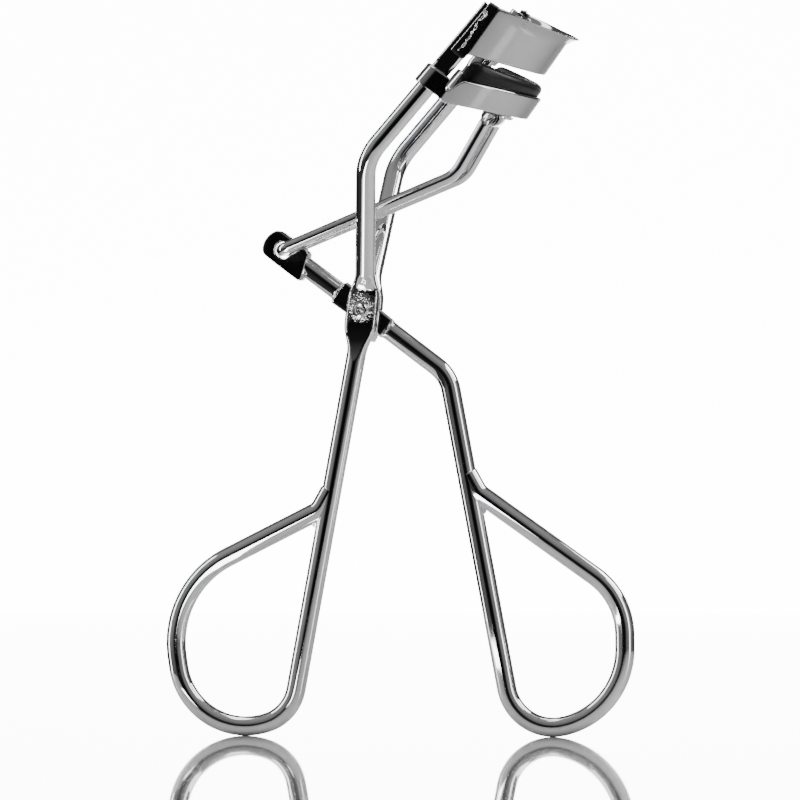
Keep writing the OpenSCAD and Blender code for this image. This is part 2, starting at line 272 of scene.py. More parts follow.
def signed_volume(mesh):
    """Sum of a.(b x c)/6 over the triangles: negative when the faces look inward."""
    mesh.calc_loop_triangles()
    tri = np.empty(len(mesh.loop_triangles) * 3, np.int32)
    mesh.loop_triangles.foreach_get("vertices", tri)
    co = np.empty(len(mesh.vertices) * 3)
    mesh.vertices.foreach_get("co", co)
    t = co.reshape(-1, 3)[tri.reshape(-1, 3)]
    return float(np.einsum("ij,ij->i", t[:, 0], np.cross(t[:, 1], t[:, 2])).sum() / 6)


def nodes_of(name):
    """A new material with its node tree cleared: (material, nodes, links, shader)."""
    mat = bpy.data.materials.new(name)
    mat.use_nodes = True
    tree = mat.node_tree
    tree.nodes.clear()
    out = tree.nodes.new("ShaderNodeOutputMaterial")
    shader = tree.nodes.new("ShaderNodeBsdfPrincipled")
    tree.links.new(shader.outputs["BSDF"], out.inputs["Surface"])
    return mat, tree.nodes, tree.links, shader


def noise_at(nodes, links, vector, scale, detail=2.0):
    """A noise read at a vector output: its value's output."""
    noise = nodes.new("ShaderNodeTexNoise")
    noise.inputs["Scale"].default_value = scale
    noise.inputs["Detail"].default_value = detail
    links.new(vector, noise.inputs["Vector"])
    return noise.outputs["Fac"]


def mapped(nodes, links, value, reach, to):
    """A Map Range node that carries a value from the range reach onto the range to."""
    node = nodes.new("ShaderNodeMapRange")
    for socket, number in zip(("From Min", "From Max", "To Min", "To Max"), (*reach, *to)):
        node.inputs[socket].default_value = number
    links.new(value, node.inputs["Value"])
    return node


def tinted(nodes, links, value, reach, dark, light):
    """A colour that goes from dark to light as a value crosses the range reach."""
    ramp = nodes.new("ShaderNodeValToRGB")
    for element, place, color in zip(ramp.color_ramp.elements, reach, (dark, light)):
        element.position = place
        element.color = (*color, 1.0)
    links.new(value, ramp.inputs["Fac"])
    return ramp.outputs["Color"]


def raised(nodes, links, height, strength, distance):
    """A Bump node that lifts the surface by a height output; distance is in metres."""
    lift = nodes.new("ShaderNodeBump")
    lift.inputs["Strength"].default_value = strength
    lift.inputs["Distance"].default_value = distance
    links.new(height, lift.inputs["Height"])
    return lift


def metal(name, color, rough_low, rough_high, scale, bump):
    """Plated metal: a noise in object coordinates varies tint and roughness, and a noise 2.2 times
    finer gives a slight waviness. Returns (material, bump node)."""
    mat, nodes, links, shader = nodes_of(name)
    shader.inputs["Metallic"].default_value = 1.0
    place = nodes.new("ShaderNodeTexCoord").outputs["Object"]
    cloud = noise_at(nodes, links, place, scale, 4.0)
    middle = (0.35, 0.65)
    rough = mapped(nodes, links, cloud, middle, (rough_low, rough_high))
    links.new(rough.outputs["Result"], shader.inputs["Roughness"])
    shade = [0.93 * c for c in color[:3]]
    tint = tinted(nodes, links, cloud, middle, shade, color[:3])
    links.new(tint, shader.inputs["Base Color"])
    fine = noise_at(nodes, links, place, scale * 2.2)
    lift = raised(nodes, links, fine, bump, 0.00005)
    links.new(lift.outputs["Normal"], shader.inputs["Normal"])
    return mat, lift


def hammered(name, color, centre):
    """Plated metal pitted round a point: height = noise*k in object coordinates, where k falls
    from 1 to 0 between the distances 1.4 and 2.7 mm from the point."""
    mat, wavy = metal(name, color, 0.03, 0.07, 260.0, 0.05)
    nodes, links = mat.node_tree.nodes, mat.node_tree.links
    place = nodes.new("ShaderNodeTexCoord").outputs["Object"]
    away = nodes.new("ShaderNodeVectorMath")
    away.operation = "DISTANCE"
    away.inputs[1].default_value = tuple((np.array(centre) + PIVOT) * MM)
    links.new(place, away.inputs[0])
    near = mapped(nodes, links, away.outputs["Value"], (0.0014, 0.0027), (1.0, 0.0))
    height = nodes.new("ShaderNodeMath")
    height.operation = "MULTIPLY"
    links.new(near.outputs["Result"], height.inputs[0])
    links.new(noise_at(nodes, links, place, 2600.0), height.inputs[1])
    pits = raised(nodes, links, height.outputs["Value"], 1.0, 0.00025)
    links.new(wavy.outputs["Normal"], pits.inputs["Normal"])
    shader = next(n for n in nodes if n.type == "BSDF_PRINCIPLED")
    links.new(pits.outputs["Normal"], shader.inputs["Normal"])
    return mat


def rubber(name, color):
    """Black rubber: one noise in object coordinates varies tint and roughness, and a finer one
    gives its grain."""
    mat, nodes, links, shader = nodes_of(name)
    shader.inputs["Specular IOR Level"].default_value = 0.3
    place = nodes.new("ShaderNodeTexCoord").outputs["Object"]
    cloud = noise_at(nodes, links, place, 500.0, 5.0)
    whole = (0.0, 1.0)
    tones = [[k * c for c in color[:3]] for k in (0.6, 1.5)]
    links.new(tinted(nodes, links, cloud, whole, *tones), shader.inputs["Base Color"])
    rough = mapped(nodes, links, cloud, whole, (0.3, 0.42))
    links.new(rough.outputs["Result"], shader.inputs["Roughness"])
    grain = noise_at(nodes, links, place, 2500.0)
    lift = raised(nodes, links, grain, 0.15, 0.00003)
    links.new(lift.outputs["Normal"], shader.inputs["Normal"])
    return mat


def sizes():
    """The panel's sizes in millimetres, by name."""
    group = bpy.context.scene.curler_sizes
    return {k: getattr(group, k) / MM for k in CurlerSizes.__annotations__}


def colors():
    """The panel's colours."""
    return bpy.context.scene.curler_colors


def material(name):
    """The shared material of that name, made at its first use."""
    have = bpy.data.materials.get(name)
    if have:
        return have
    c = colors()
    # Colour, lowest and highest roughness, scale of the noise, strength of the waviness
    metals = {
        "plated_wire": (c.wire, 0.03, 0.07, 260.0, 0.05),
        "plated_sheet": (c.sheet, 0.1, 0.15, 180.0, 0.05),
        "dark_steel": (c.block, 0.06, 0.16, 420.0, 0.15),
        "weld_metal": (c.wire, 0.08, 0.2, 900.0, 0.5),
    }
    if name in metals:
        return metal(name, *metals[name])[0]
    if name == "hammered_wire":
        return hammered(name, c.wire, (0.35, -2.6, 0.3))
    return rubber(name, c.pad)


def length(name, description, default, low, high):
    """A length of the panel, in metres."""
    return bpy.props.FloatProperty(name=name, description=description, default=default,
                                   min=low, max=high, unit="LENGTH")


def colour(name, description, red, green, blue):
    """A colour of the panel."""
    return bpy.props.FloatVectorProperty(name=name, description=description, subtype="COLOR", size=4,
                                         default=(red, green, blue, 1.0), min=0.0, max=1.0)


class CurlerSizes(bpy.types.PropertyGroup):
    """Sizes of the finished surfaces."""

    wire_r: length("Wire radius", "Radius of handle and rod wire", 0.0014, 0.0012, 0.0015)
    link_r: length("Link radius", "Radius of the link wire", 0.00085, 0.0007, 0.0009)
    eye_half: length("Eye half width", "Half width of the flattened eyes", 0.00235, 0.002, 0.0026)
    eye_t: length("Eye thickness", "Thickness of the flattened eyes", 0.0016, 0.0013, 0.0017)
    eye_y: length("Eye offset", "Distance of the eyes from the middle plane", 0.0018, 0.0017, 0.002)
    rod_y: length("Rod offset", "Half the distance between the rods", 0.013, 0.0125, 0.0135)
    seat_y: length("Flange seat", "Distance of the rods' flats from the middle", 0.01395, 0.0135,
                   0.0142)
    sheet_t: length("Sheet thickness", "Thickness of the jaws' sheet", 0.0006, 0.0004, 0.0007)
    block_t: length("Tip block thickness", "Depth of the tip block", 0.004, 0.0036, 0.0044)
    pad_w: length("Pad width", "Width of the rubber pad", 0.0033, 0.003, 0.0034)


class CurlerColors(bpy.types.PropertyGroup):
    """Colours of the finishes."""

    wire: colour("Wire", "Plated wire", 0.86, 0.86, 0.87)
    sheet: colour("Sheet", "Plated sheet", 0.6, 0.6, 0.61)
    block: colour("Tip block", "Dark steel", 0.42, 0.42, 0.43)
    pad: colour("Pad", "Rubber", 0.008, 0.008, 0.008)
    floor: colour("Floor", "Floor of the stage", 0.62, 0.62, 0.62)


def rod_corners(side, eye_y, rod_y):
    """Corners of a guide rod from its top end down to the eye, on the side -1 or +1."""
    top = ROD_REF + ROD_DIR * ROD_TOP
    return [[top[0], side * rod_y, top[2]], [KNEE[0], side * rod_y, KNEE[1]],
            [EYE_ENTRY[0], side * eye_y, EYE_ENTRY[1]]]


def eye_profile(pts, size):
    """Half width across a wire that widens to an oval round the pivot: with w a smooth window in
    z and e = sqrt(1 - ((z + 1)/6)^2), half = r + (eye_half - r)*w*e. Returns it and w."""
    z = pts[:, 2]
    window = smoothstep(5.6, 1.6, z) * smoothstep(-6.6, -2.6, z)
    oval = np.sqrt(np.clip(1 - ((z + 1.0) / 6.0) ** 2, 0.05, 1))
    return size["wire_r"] + (size["eye_half"] - size["wire_r"]) * window * oval, window


def pressed_flat(rings, size, side):
    """Both faces of the eye: |side*y - eye_y| is held to t/2 + 0.045*max(0, -2.6 - z)^1.6 below the
    pivot, and the hold is faded out with height above it."""
    y, z = rings[..., 1], rings[..., 2]
    limit = size["eye_t"] / 2 + 0.045 * np.maximum(0.0, -2.6 - z) ** 1.6
    held = side * (size["eye_y"] + np.clip(side * y - size["eye_y"], -limit, limit))
    free = smoothstep(2.2, 4.6, z)
    rings[..., 1] = np.where((z < 4.6) & (z > -9), held * (1 - free) + y * free, y)
    return rings


def pitted(rings, window, centre_y, side):
    """Shallow dents in an eye's outer face: y += side*0.05*w*k*(noise(3.1x, 3.1z) +
    0.8*noise(6.5x, 6.5z)), where k = exp(-d^2/5.5) at the distance d from the rivet."""
    x, y, z = rings[..., 0], rings[..., 1], rings[..., 2]
    outer = smoothstep(0.2, 0.6, side * (y - centre_y))
    near = np.exp(-((x - 0.3) ** 2 + (z - 0.3) ** 2) / 5.5)
    rough = (smooth_noise(x * 3.1, z * 3.1, 1.0) + 0.8 * smooth_noise(x * 6.5, z * 6.5, 2.0)) * near
    depth = 0.05
    rings[..., 1] = y + side * depth * window[:, None] * outer * rough
    return rings


def flat_on_rod(rings, side, seat_y):
    """The flat for the flange on the rod's upper run, u from 2.6 mm up: |y| is held to
    seat_y - 0.9*max(0, |v| - 1.12), which also breaks the flat's two long edges."""
    u = (rings - ROD_REF) @ ROD_DIR
    v = np.abs((rings - ROD_REF) @ ROD_SIDE)
    y = rings[..., 1]
    cut = side * np.minimum(side * y, seat_y - 0.9 * np.maximum(0.0, v - 1.12))
    rings[..., 1] = np.where(u > 2.6, cut, y)
    return rings


def wire_part(corners, radii, size, side):
    """A rod-and-handle wire: swept circle, flattened into the eye, with the flange's flat. Above
    u = 5 mm the rod is pressed slightly square: its half width gains 0.06 and its power 1."""
    pts = route(corners, radii, WIRE_STEP)
    frames = carried_frames(pts[::-1], Y_AXIS)
    frames = tuple(f[::-1] for f in frames)
    half_a, window = eye_profile(pts, size)
    u = (pts - ROD_REF) @ ROD_DIR
    pressed = smoothstep(4.8, 6.2, u) * (np.abs(pts[:, 1]) > size["rod_y"] - 0.5)
    half_a = half_a + 0.06 * pressed
    half_b = np.full(len(pts), size["wire_r"])
    rings = swept(pts, frames, half_a, half_b, 2.0 + 1.0 * pressed, 48)
    rings = pressed_flat(rings, size, side)
    rings = pitted(rings, window, side * size["eye_y"], side)
    rings = domed(rings, frames, 0.35)
    return skin(flat_on_rod(rings, side, size["seat_y"]))


def crotch(corner, end_a, end_b, y):
    """Filler in a crotch: a swept ellipse from 1.5 mm behind the corner to 0.15 mm past it, along
    the bisector of the two wires, its radius falling from 1.15 to 0.4 of 0.85 mm."""
    corner = np.array(corner)
    arms = [np.array(end) - corner for end in (end_a, end_b)]
    direction = sum(arm / np.linalg.norm(arm) for arm in arms)
    direction /= np.linalg.norm(direction)
    behind, length = 1.5, 1.65
    k = np.linspace(0, 1, 14)
    flat = corner - direction * behind + direction * k[:, None] * length
    pts = np.stack([flat[:, 0], np.full(len(flat), y), flat[:, 1]], 1)
    frames = carried_frames(pts, Y_AXIS)
    width = 0.85 * (1.15 - 0.75 * k)
    rings = swept(pts, frames, width, width * 0.62, np.full(len(pts), 2.0), 20)
    return skin(domed(rings, frames, 0.25))


class CURLER_OT_left_handle(bpy.types.Operator):
    """Builds the left handle wire with its loop, eye and near guide rod"""

    bl_idname = "curler.left_handle"
    bl_label = "Left handle"

    def execute(self, context):
        size = sizes()
        y = -size["eye_y"]
        # The run down, round the finger loop and back into the run, as (x, z)
        loop = [(-0.13, -5.65), (-9.7, -58.03), (-24.41, -62.85), (-27.77, -40.0),
                (-5.7, -28.85), (-4.12, -26.0)]
        corners = rod_corners(-1, size["eye_y"], size["rod_y"]) + [[x, y, z] for x, z in loop]
        bends = [0, 6.5, 6, 9, 6.2, 9.85, 13.73, 2.4, 0]
        part = wire_part(corners, bends, size, -1)
        make_object("left_wire", part, "hammered_wire", "frame", ["left_handle"])
        web = crotch((-6.3, -30.9), (-7.2, -36.0), (-11.5, -33.4), y)
        make_object("left_web", web, "plated_wire", "frame", ["left_loop_braze"])
        return {"FINISHED"}


class CURLER_OT_right_handle(bpy.types.Operator):
    """Builds the right handle wire with its loop, its flattened middle and the arm"""

    bl_idname = "curler.right_handle"
    bl_label = "Right handle"

    def execute(self, context):
        size = sizes()
        start = -ARM_DIR * (CRANK - 2.8)
        # The arm's bend, the run down, round the finger loop and back into the run, as (x, z)
        loop = [(12.72, -9.54), (22.42, -60.9), (38.27, -57.77), (38.12, -41.17), (17.1, -26.3),
                (15.6, -23.6)]
        bends = [0, 5.5, 6.8, 11.3, 10.33, 2.4, 0]
        pts = route([start] + [[x, 0, z] for x, z in loop], bends, WIRE_STEP)
        frames = carried_frames(pts, Y_AXIS)
        # The flattened middle round the rivet, by the distance d along the arm
        d = pts @ ARM_DIR
        on_arm = np.abs(pts @ ARM_UP) < 0.3
        window = smoothstep(-4.1, -3.8, d) * smoothstep(5.3, 4.75, d) * on_arm
        flat_half_width = 1.85 - 0.035 * (d + 3.9)
        flat_half_depth = 0.95
        half_a = size["wire_r"] + (flat_half_width - size["wire_r"]) * window
        half_b = size["wire_r"] + (flat_half_depth - size["wire_r"]) * window
        rings = swept(pts, frames, half_a, half_b, 2.0 + 6.0 * window, 40)
        part = skin(domed(rings, frames, 0.35))
        make_object("right_wire", part, "plated_wire", "moving_handle", ["right_handle"])
        web = crotch((17.85, -28.9), (18.6, -33.0), (21.6, -31.6), 0.0)
        make_object("right_web", web, "plated_wire", "moving_handle", ["right_loop_braze"])
        return {"FINISHED"}


class CURLER_OT_far_rod(bpy.types.Operator):
    """Builds the far guide rod with its own eye"""

    bl_idname = "curler.far_rod"
    bl_label = "Far guide rod"

    def execute(self, context):
        size = sizes()
        foot = [0.05, size["eye_y"], -4.6]
        corners = rod_corners(1, size["eye_y"], size["rod_y"]) + [foot]
        part = wire_part(corners, [0, 6.5, 6, 0], size, 1)
        make_object("far_rod", part, "plated_wire", "frame", ["far_guide_rod"])
        return {"FINISHED"}


def block_radius(angle):
    """Distance from the hole to the block's outline at an angle, as the soft minimum of the
    rounded end's circle and the distances to the straight sides: (sum d^-p)^(-1/p)."""
    c, s = np.cos(angle), np.sin(angle)
    walls = []
    for nx, ny, dist in ((0, 1, 2.0), (0, -1, 2.15), (0.94, 0.342, 3.75)):
        k = nx * c + ny * s
        walls.append(np.where(k > 0.02, dist / np.maximum(k, 0.02), 60.0))
    walls.append(2.95 + 6.0 * smoothstep(0.1, 0.9, c))
    inv = sum(w ** -14.0 for w in walls)
    return inv ** (-1.0 / 14.0)


class CURLER_OT_tip_block(bpy.types.Operator):
    """Builds the block on the arm's end, bored for the link"""

    bl_idname = "curler.tip_block"
    bl_label = "Tip block"

    def execute(self, context):
        size = sizes()
        half = size["block_t"] / 2
        hole, hole_edge, edge = 1.2, 0.2, 0.22
        angle = np.linspace(0, 2 * math.pi, 160, endpoint=False)
        outer = block_radius(angle)
        turn = np.linspace(0, math.pi / 2, 6)[1:]
        # Section from the hole's wall round its edge, out over the face and round the outer edge
        rows = [(hole, hole_edge - half)]
        rows += [(hole + hole_edge * (1 - math.cos(a)), hole_edge - half - hole_edge * math.sin(a))
                 for a in turn]
        rows += [(outer - edge * (1 + w), -half) for w in (2.0, 1.0, 0.0)]
        rows += [(outer - edge * (1 - math.sin(a)), -(half - edge * (1 - math.cos(a)))) for a in turn]
        rows += [(r, -y) for r, y in rows[::-1]]
        base = -ARM_DIR * CRANK
        rings = []
        for r, y in rows:
            r = np.broadcast_to(r, angle.shape)
            across = (r * np.cos(angle))[:, None]
            upward = (r * np.sin(angle))[:, None]
            rings.append(base + ARM_DIR * across + ARM_UP * upward + Y_AXIS * y)
        part = looped(np.array(rings))
        make_object("tip_block_body", part, "dark_steel", "moving_handle", ["tip_block"], 50.0)
        return {"FINISHED"}


class CURLER_OT_rivet(bpy.types.Operator):
    """Builds the semi-tubular pivot rivet"""

    bl_idname = "curler.rivet"
    bl_label = "Pivot rivet"

    def execute(self, context):
        # Section as (r, y): the rolled hollow end on the near face, the shank, the far head
        face = 2.62
        shank = 0.9
        profile = [(0.5, -face + 1.2), (0.56, -face - 0.1), (0.66, -face - 0.3), (0.82, -face - 0.38),
                   (1.0, -face - 0.34), (1.14, -face - 0.18), (1.18, -face + 0.02),
                   (shank, -face + 0.1), (shank, face - 0.02),
                   (1.85, face), (1.9, face + 0.12), (1.75, face + 0.36), (1.4, face + 0.56),
                   (0.9, face + 0.68), (0.4, face + 0.72)]
        verts, faces = revolved(profile, 64)
        offset = np.array([0.3, 0.0, -0.2])
        make_object("rivet_body", (verts + offset, faces), "plated_wire", "frame", ["pivot_rivet"],
                    30.0)
        return {"FINISHED"}


def sheet_rings(path, low, high, thick, flare=None, lean=0.0, thin=1.0):
    """Rings of a strip of sheet carried along path, an array of (n, y) at mid thickness.

    Point = (n + o*Nn, y + o*Ny) raised to g = low + f*(high - low) with the outline (o, f):
    outer face, rounded top edge, inner face, rounded bottom edge. (Nn, Ny) is the path's
    normal. flare(path, g, high) adds to o; lean moves n by lean*(g - TILT_REF); thin scales
    the thickness along the path."""
    t = np.gradient(path, axis=0)
    t /= np.linalg.norm(t, axis=1)[:, None]
    normal = np.stack([t[:, 1], -t[:, 0]], 1)
    half = thick / 2
    f = np.linspace(0.0, 1.0, 22)
    face, level = np.full(len(f), half), np.zeros(len(f))
    k = np.linspace(0, math.pi, 7)[1:-1]
    offs = np.concatenate([face, half * np.cos(k), -face, -half * np.cos(k)])
    frac = np.concatenate([f, np.ones(len(k)), f[::-1], np.zeros(len(k))])
    over = np.concatenate([level, half * np.sin(k), level, -half * np.sin(k)])
    g = low[:, None] + (high - low)[:, None] * frac + over
    o = offs[None, :] * np.broadcast_to(np.asarray(thin, float), (len(path),))[:, None]
    if flare is not None:
        o = o + flare(path, g, high)
    lean = np.broadcast_to(np.asarray(lean, float), (len(path),))
    n = path[:, :1] + normal[:, :1] * o + lean[:, None] * (g - TILT_REF)
    y = path[:, 1:] + normal[:, 1:] * o
    return placed(n, g, y)


def resampled(points, step):
    """Points of a polyline at even steps."""
    p = np.array(points, float)
    length = np.concatenate([[0], np.cumsum(np.linalg.norm(np.diff(p, axis=0), axis=1))])
    s = np.linspace(0, length[-1], int(length[-1] / step) + 2)
    return np.stack([np.interp(s, length, p[:, 0]), np.interp(s, length, p[:, 1])], 1)


def eased(path, reach):
    """The path with its corners rounded: a moving average over 2*reach + 1 points, the first and
    last points kept."""
    padded = np.vstack([np.repeat(path[:1], reach, 0), path, np.repeat(path[-1:], reach, 0)])
    out = sum(padded[k:k + len(path)] for k in range(2 * reach + 1)) / (2 * reach + 1)
    out[0], out[-1] = path[0], path[-1]
    return out


class CURLER_OT_upper_jaw(bpy.types.Operator):
    """Builds the fixed upper jaw with its flared lip, end flanges and weld runs"""

    bl_idname = "curler.upper_jaw"
    bl_label = "Upper jaw"

    def execute(self, context):
        size = sizes()
        half = size["sheet_t"] / 2
        radius, centre = 16.65 - half, -14.35
        flange_n, flange_y = -9.35, size["seat_y"] + half
        end = math.asin((flange_y - 0.05) / radius)
        a = np.linspace(-end, end, 170)
        arc = np.stack([centre + radius * np.cos(a), radius * np.sin(a)], 1)
        fold = arc[0, 0]
        near = np.array([[flange_n, -flange_y], [fold - 0.1, -flange_y]])
        step = 0.1
        path = eased(resampled(np.vstack([near, arc, near[::-1] * [1, -1]]), step), 3)
        n, y = path[:, 0], path[:, 1]
        # Heights of the flanges' edges and of the plate's, blended across the fold
        plate = smoothstep(fold - 0.18, fold + 0.05, n)
        flange_low = 38.9 - 0.089 * (n + 9.41)
        plate_low = 39.73 + 0.345 * (n - fold)
        flange_high = 47.12 + 0.02 * (n + 9.4)
        plate_high = 47.15 + 0.24 * (n - fold)
        low = (1 - plate) * flange_low + plate * plate_low
        high = (1 - plate) * flange_high + plate * plate_high
        far_lobe = (y > 0) * (1 - plate) * 0.25 * np.exp(-((n + 8.2) / 0.7) ** 2)
        lean = np.where(n < fold, TILT * (1 - smoothstep(flange_n, fold, n)), 0.0)

        def lip(at, g, top):
            """Outward flare 1.05*t^1.9, t = how far g is into the last 1.95 mm below the top
            edge, faded out towards the ends of the arc."""
            rim = 1.95
            t = np.clip((g - (top[:, None] - rim)) / rim, 0, 1.2)
            return 1.05 * t ** 1.9 * smoothstep(fold + 0.1, fold + 4.5, at[:, :1])

        # The flanges' free edges are rounded over their last 0.15 mm
        count = np.arange(len(path))
        to_end = np.minimum(count, count[::-1]) * step
        thin = np.sqrt(np.clip(1 - (1 - np.clip(to_end / 0.15, 0, 1)) ** 2, 0.02, 1.0))
        part = skin(sheet_rings(path, low, high + far_lobe, size["sheet_t"], lip, lean, thin))
        make_object("upper_jaw_sheet", part, "plated_sheet", "frame", ["upper_jaw"], 50.0)
        runs = [self.weld(side, size) for side in (-1, 1)]
        make_object("weld_runs", joined(*runs), "weld_metal", "frame", ["jaw_weld_beads"], 60.0)
        return {"FINISHED"}

    @staticmethod
    def weld(side, size):
        """A wavering bead on a flange, a swept circle along the rod from s = 8.2 to 14.9 mm:
        r = 0.11 + 0.08*noise(3.1s) with a 0.2 mm blob near the top, off the rod's middle line by
        v = 0.35 - 0.037*(s - 8.2) + 0.22*sin(0.9s) + 0.16*noise(1.9s)."""
        first, last = 8.2, 14.9
        s = np.linspace(first, last, 150)
        v = 0.35 - 0.25 * (s - first) / 6.7
        v = v + 0.22 * np.sin(0.9 * s + side) + 0.16 * smooth_noise(s * 1.9, s * 0, 3.0)
        blob = np.exp(-((s - 14.5) / 0.35) ** 2)
        r = 0.11 + 0.08 * smooth_noise(s * 3.1, s * 0, 5.0 + side) + 0.2 * blob
        y = np.full(len(s), side * (size["seat_y"] + size["sheet_t"]))
        pts = ROD_REF + ROD_DIR * s[:, None] + ROD_SIDE * v[:, None] + Y_AXIS * y[:, None]
        frames = carried_frames(pts, Y_AXIS)
        count = 16
        rings = swept(pts, frames, r * 1.2, r, np.full(len(s), 2.0), count)
        lumps = 1 + 0.25 * smooth_noise(s[:, None] * 4.0, np.arange(count)[None, :] * 0.8, 7.0)
        rings = pts[:, None] + (rings - pts[:, None]) * lumps[..., None]
        return skin(domed(rings, frames, 0.1))


class CURLER_OT_lower_jaw(bpy.types.Operator):
    """Builds the sliding lower jaw with its rolled ears and the pad's channel"""

    bl_idname = "curler.lower_jaw"
    bl_label = "Lower jaw"

    def execute(self, context):
        size = sizes()
        thick = size["sheet_t"] - 0.1
        half = thick / 2
        radius = 16.1 - half
        end = math.acos((LOWER_END_N - LOWER_ARC_N) / radius)
        a = np.linspace(-end, end, 150)
        arc = np.stack([LOWER_ARC_N + radius * np.cos(a), radius * np.sin(a)], 1)
        # The ears: sheet rolled round the rods, whose middle is at ear_n half way up the ear
        ear_mid = 33.6
        ear_n = ROD_N + TILT * (ear_mid - TILT_REF)
        ear_r = size["wire_r"] + 0.06 + half
        b = np.radians(np.linspace(86, 255, 44))
        curl = np.stack([ear_n + ear_r * np.cos(b), size["rod_y"] + ear_r * np.sin(b)], 1)
        path = resampled(np.vstack([curl[::-1] * [1, -1], arc, curl]), 0.16)
        n = path[:, 0]
        # Heights of the ears' edges and of the plate's, blended where the plate begins
        inner = np.abs(path[:, 1]) < np.abs(arc[0, 1]) + 0.02
        plate = smoothstep(-6.9, -5.5, n) * inner
        plate_low = 32.2 + 0.435 * (n + 5.0) * smoothstep(-6.2, -4.2, n)
        rise = smoothstep(-6.0, -4.4, n)
        plate_high = 33.15 + (36.12 + 0.40 * (n + 3.9) - 33.15) * rise
        ear_low, ear_high = 32.4, 35.0
        low = ear_low + (plate_low - ear_low) * plate
        high = ear_high + (plate_high - ear_high) * plate
        lean = TILT * (1 - smoothstep(-7.6, -6.2, n))
        path[:, 0] -= lean * (ear_mid - TILT_REF)
        rings = sheet_rings(path, low, high, thick, None, lean)
        make_object("lower_jaw_sheet", skin(rings), "plated_sheet", "lower_jaw_carriage",
                    ["lower_jaw"], 50.0)
        self.channel()
        return {"FINISHED"}

    @staticmethod
    def channel():
        """The channel: an L section, floor then back wall, carried along the jaw's arc with its
        floor at g = 32.85 + FLOOR_SLOPE*(n - LOWER_END_N)."""
        outer, inner, wall_top, t = 15.45, 11.95, 1.7, 0.5
        corners = [(outer, 0), (outer, t), (inner + t, t), (inner + t, wall_top),
                   (inner, wall_top), (inner, 0)]
        outline = rounded_corners(corners, 0.12, 4)
        end = math.radians(57)
        a = np.linspace(-end, end, 110)[:, None]
        r, lift = outline[None, :, 0], outline[None, :, 1]
        n = LOWER_ARC_N + r * np.cos(a)
        g = 32.85 + FLOOR_SLOPE * (n - LOWER_END_N) + lift
        rings = placed(n, g, r * np.sin(a))
        make_object("channel_sheet", skin(rings), "plated_sheet", "lower_jaw_carriage",
                    ["pad_channel"], 40.0)


class CURLER_OT_pad(bpy.types.Operator):
    """Builds the rubber pad"""

    bl_idname = "curler.pad"
    bl_label = "Lash pad"

    def execute(self, context):
        size = sizes()
        half_w = size["pad_w"] / 2
        mid = 15.42 - half_w
        end = math.radians(61.0)
        s = np.linspace(-1, 1, 260)
        a = s * end
        to_end = (1 - np.abs(s)) * end * mid

        def quarter(reach):
            """Height of a quarter circle of radius 1 at to_end/reach, 1 past its top."""
            return np.sqrt(np.clip(1 - (1 - np.clip(to_end / reach, 0, 1)) ** 2, 0.0, 1.0))

        # Rounded ends: the width closes over half a width, the top falls over the last 1.35 mm
        width = half_w * np.maximum(quarter(half_w), 0.05)
        corner = 1.35
        n_mid = LOWER_ARC_N + mid * np.cos(a)
        floor = 33.4 + FLOOR_SLOPE * (n_mid - LOWER_END_N)
        top_slope = 0.217
        top = 39.27 + top_slope * (n_mid + 5.0)
        height = top - corner * (1 - quarter(corner)) - floor
        # Section in half widths and heights: broad round shoulders over nearly square feet
        k = np.linspace(0, math.pi / 2, 10)
        shoulder = np.stack([0.3 + 0.7 * np.cos(k), 0.74 + 0.26 * np.sin(k)], 1)
        outline = np.vstack([[(0.94, 0.0), (1.0, 0.03)], shoulder, shoulder[::-1] * [-1, 1],
                             [(-1.0, 0.03), (-0.94, 0.0)]])
        r = mid + width[:, None] * outline[None, :, 0]
        n = LOWER_ARC_N + r * np.cos(a)[:, None]
        up = outline[None, :, 1]
        g = floor[:, None] + height[:, None] * up
        g = g + (FLOOR_SLOPE * (1 - up) + top_slope * up) * (n - n_mid[:, None])
        rings = placed(n, g, r * np.sin(a)[:, None])
        make_object("rubber_pad", skin(rings), "black_rubber", "lower_jaw_carriage", ["lash_pad"], 60.0)
        return {"FINISHED"}


